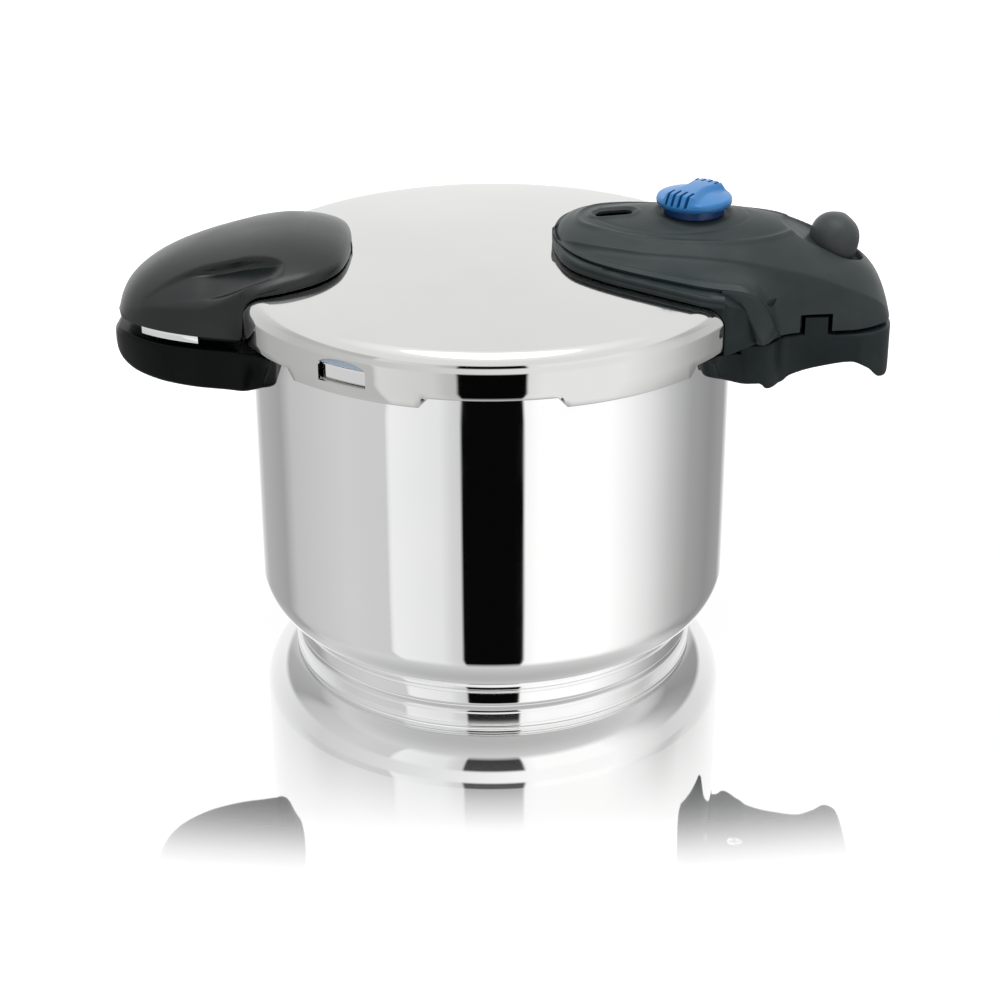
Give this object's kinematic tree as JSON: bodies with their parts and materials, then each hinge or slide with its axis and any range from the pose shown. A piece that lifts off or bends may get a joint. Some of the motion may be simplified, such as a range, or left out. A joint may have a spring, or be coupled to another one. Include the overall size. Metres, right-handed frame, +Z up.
{
  "type": "pressure cooker",
  "caption": "Stove-top pressure cooker: round stainless pot with a bayonet lid, long and helper grips, a pressure dial, an indicator pin and a sliding lid lock.",
  "frame": {"origin": "centre of the base's resting face, on the pot's axis", "axes": "+Z up along the pot's axis, +X towards the long grips that carry the dial"},
  "size_m": [0.363, 0.246, 0.2216],
  "materials": {
    "polished_steel": "mirror-polished stainless steel",
    "satin_steel": "satin stainless steel with a polished skirt",
    "bracket_steel": "pressed stainless steel",
    "base_aluminium": "pressed aluminium core",
    "grip_plastic": "fine-textured moulded phenolic",
    "helper_plastic": "smooth moulded phenolic",
    "seal_rubber": "silicone",
    "screw_steel": "plated steel",
    "valve_brass": "machined brass",
    "piston_steel": "machined stainless steel",
    "spring_steel": "spring wire",
    "dial_blue": "glossy moulded plastic",
    "dial_dark_blue": "moulded plastic",
    "cam_plastic": "acetal",
    "indicator_red": "moulded plastic",
    "button_plastic": "fine-textured moulded plastic",
    "lock_steel": "pressed steel"
  },
  "bodies": {
    "pot": {"pot_shell": "polished_steel", "base_core": "base_aluminium", "base_cap": "polished_steel", "pot_bracket_right": "bracket_steel", "pot_bracket_left": "bracket_steel", "pot_grip": "grip_plastic", "pot_grip_screw": "screw_steel", "helper_grip": "helper_plastic", "helper_grip_screw": "screw_steel"},
    "gasket": {"gasket": "seal_rubber"},
    "lid": {"lid_shell": "satin_steel", "lid_grip_bracket": "bracket_steel", "lid_grip_base": "grip_plastic", "lid_grip_cover": "grip_plastic", "lid_grip_screws": "screw_steel", "lid_nose_stud": "screw_steel", "lid_nose_nut": "screw_steel", "lid_helper_bracket": "bracket_steel", "lid_helper_base": "helper_plastic", "lid_helper_cap": "helper_plastic", "lid_helper_screws": "screw_steel", "valve_body": "valve_brass", "valve_seal": "seal_rubber", "valve_nut": "screw_steel", "valve_spring_seat": "valve_brass", "valve_spring": "spring_steel", "indicator_bush": "screw_steel", "indicator_nut": "screw_steel", "safety_body": "valve_brass", "safety_seal": "seal_rubber", "safety_nut": "screw_steel", "safety_spring": "spring_steel", "safety_cap": "valve_brass", "lock_guide": "cam_plastic", "lock_detent": "bracket_steel"},
    "dial": {"dial_cap": "dial_blue", "dial_collar": "dial_dark_blue", "dial_cam": "cam_plastic"},
    "valve_piston": {"valve_piston": "piston_steel"},
    "indicator": {"indicator_pin": "indicator_red", "indicator_clip": "screw_steel"},
    "safety_poppet": {"safety_poppet": "piston_steel"},
    "lock_button": {"lock_button": "button_plastic", "lock_carrier": "lock_steel", "lock_pin": "screw_steel"},
    "lock_bolt": {"lock_bolt": "lock_steel"}
  },
  "joints": [
    {"name": "lid_lift", "type": "slide", "parent": "pot", "child": "gasket", "axis": [0, 0, 1], "range_m": [0, 0.15]},
    {"name": "lid_turn", "type": "hinge", "parent": "gasket", "child": "lid", "pos_m": [0, 0, 0], "axis": [0, 0, 1], "range_deg": [0, 30]},
    {"name": "dial_turn", "type": "hinge", "parent": "lid", "child": "dial", "pos_m": [0.094, 0, 0.2116], "axis": [0, 0, 1], "range_deg": [-60, 60]},
    {"name": "valve_lift", "type": "slide", "parent": "lid", "child": "valve_piston", "axis": [0, 0, 1], "range_m": [0, 0.002], "stiffness_N_per_m": 900, "springref_m": -0.002, "deforming": ["valve_spring"]},
    {"name": "indicator_rise", "type": "slide", "parent": "lid", "child": "indicator", "axis": [0, 0, 1], "range_m": [0, 0.006]},
    {"name": "safety_lift", "type": "slide", "parent": "lid", "child": "safety_poppet", "axis": [0, 0, 1], "range_m": [0, 0.0015], "stiffness_N_per_m": 1200, "springref_m": -0.002, "deforming": ["safety_spring"]},
    {"name": "lock_slide", "type": "slide", "parent": "lid", "child": "lock_button", "axis": [-0.8746, 0, 0.4848], "range_m": [0, 0.008]},
    {"name": "bolt_slide", "type": "slide", "parent": "lid", "child": "lock_bolt", "axis": [-1, 0, 0], "range_m": [0, 0.0071]}
  ],
  "couplings": [
    {"joint": "bolt_slide", "follows": "lock_slide", "ratio": 0.87462}
  ]
}
